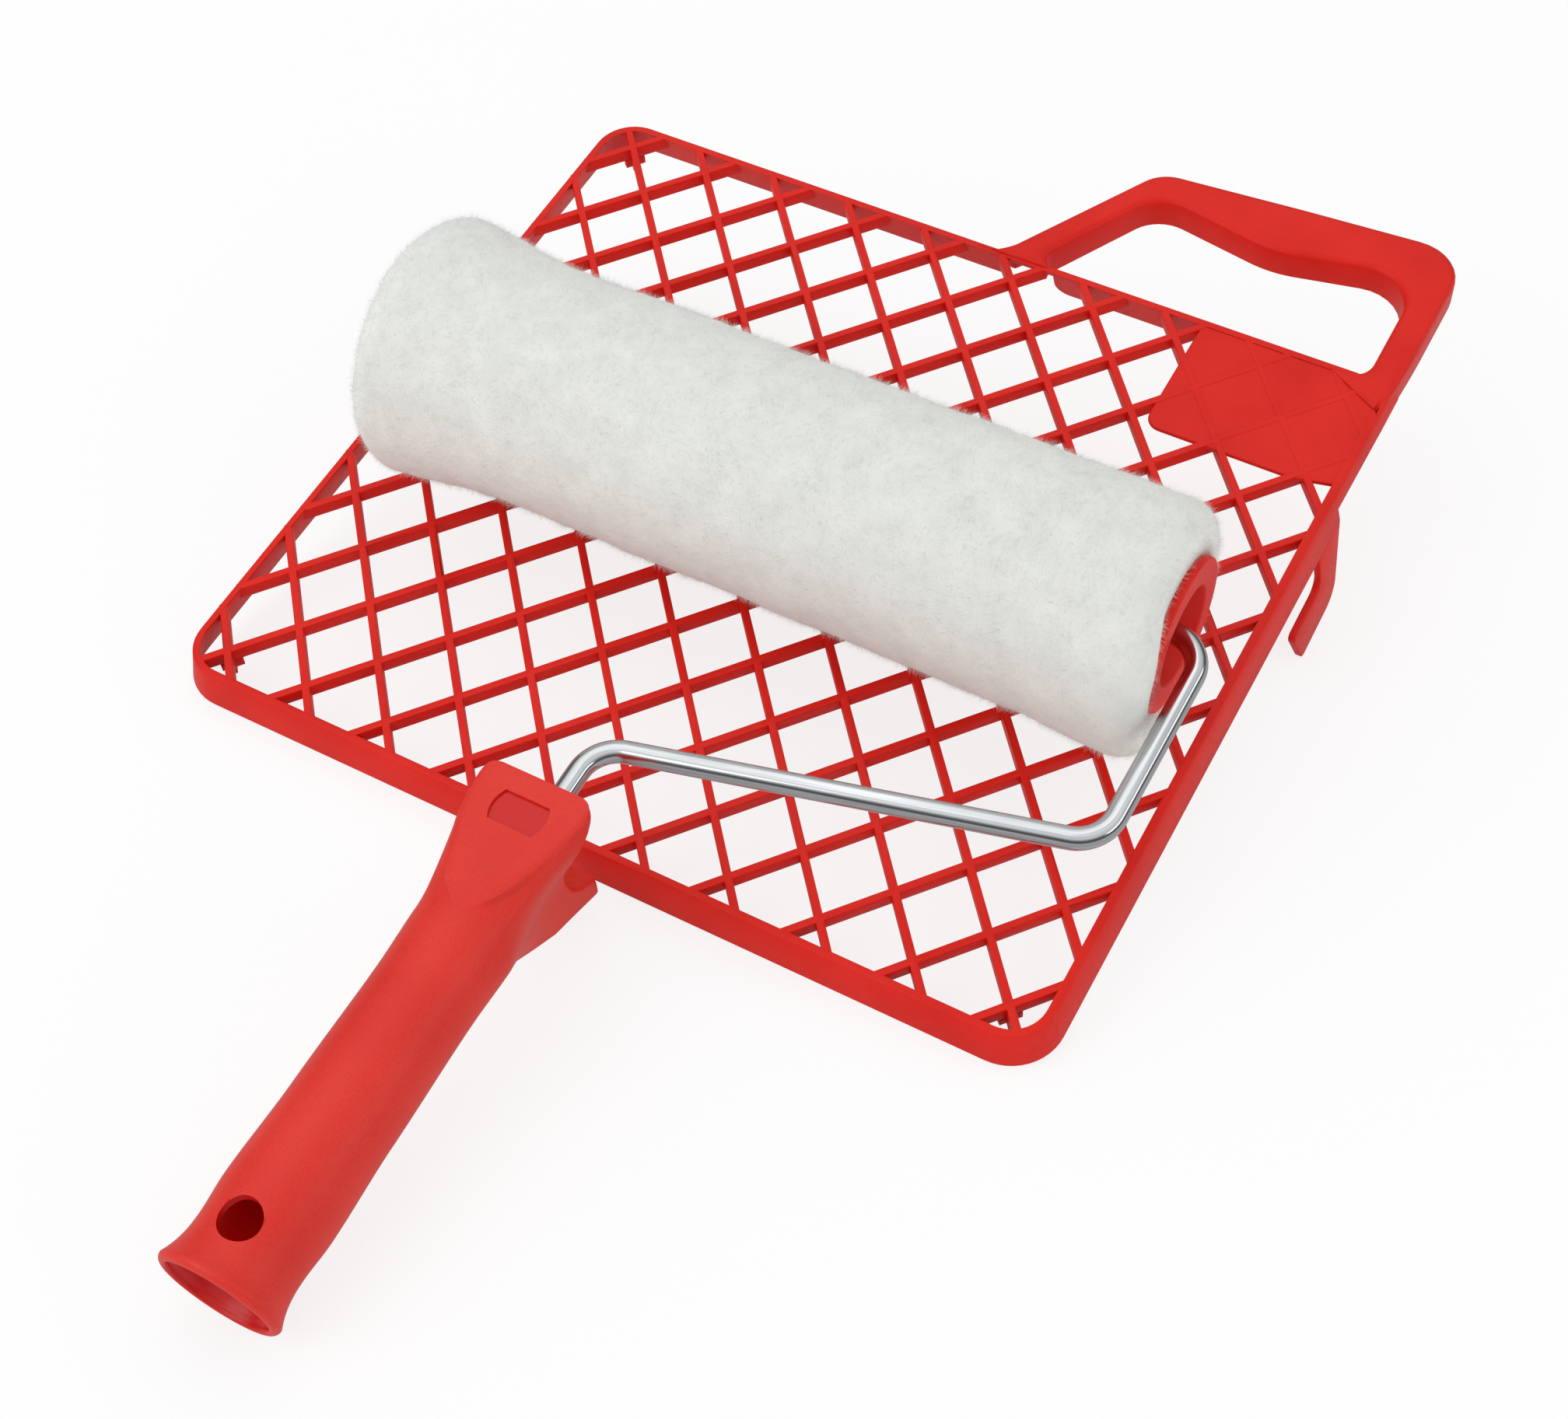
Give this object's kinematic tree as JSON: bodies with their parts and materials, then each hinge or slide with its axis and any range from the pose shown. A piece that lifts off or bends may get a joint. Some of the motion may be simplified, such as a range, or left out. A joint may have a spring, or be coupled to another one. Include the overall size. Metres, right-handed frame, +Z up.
{
  "type": "paint roller with scraper grid",
  "caption": "Long-pile paint roller lying on a moulded lattice scraper grid with a carrying grip and a bucket hook.",
  "frame": {"origin": "on the table, under the middle of the whole set", "axes": "+Z up, +Y from the roller's handle towards the grid's grip, +X towards the bow's arm and the grid's hook"},
  "size_m": [0.287, 0.4737, 0.1034],
  "materials": {
    "red_plastic": "moulded polypropylene, satin, fine spark texture on the handle",
    "pile": "long white knitted pile",
    "zinc_steel": "drawn wire, bright zinc plated",
    "core": "plain extruded tube"
  },
  "bodies": {
    "grid": {"rim_frame": "red_plastic", "mesh_ribs": "red_plastic", "corner_panel": "red_plastic", "grip_loop": "red_plastic", "hang_hook": "red_plastic", "corner_feet": "red_plastic"},
    "roller_frame": {"wire_bow": "zinc_steel", "handle_grip": "red_plastic", "handle_head": "red_plastic", "retaining_clip": "zinc_steel"},
    "sleeve": {"core_tube": "core", "pile_sleeve": "pile", "outer_cap": "red_plastic", "inner_cap": "red_plastic"}
  },
  "joints": [
    {"name": "roller_lift", "type": "slide", "parent": "grid", "child": "roller_frame", "axis": [0, 0, 1], "range_m": [0, 0.15]},
    {"name": "sleeve_spin", "type": "hinge", "parent": "roller_frame", "child": "sleeve", "pos_m": [-0.00165, 0.03236, 0.06766], "axis": [1, 0, 0], "continuous": true}
  ]
}
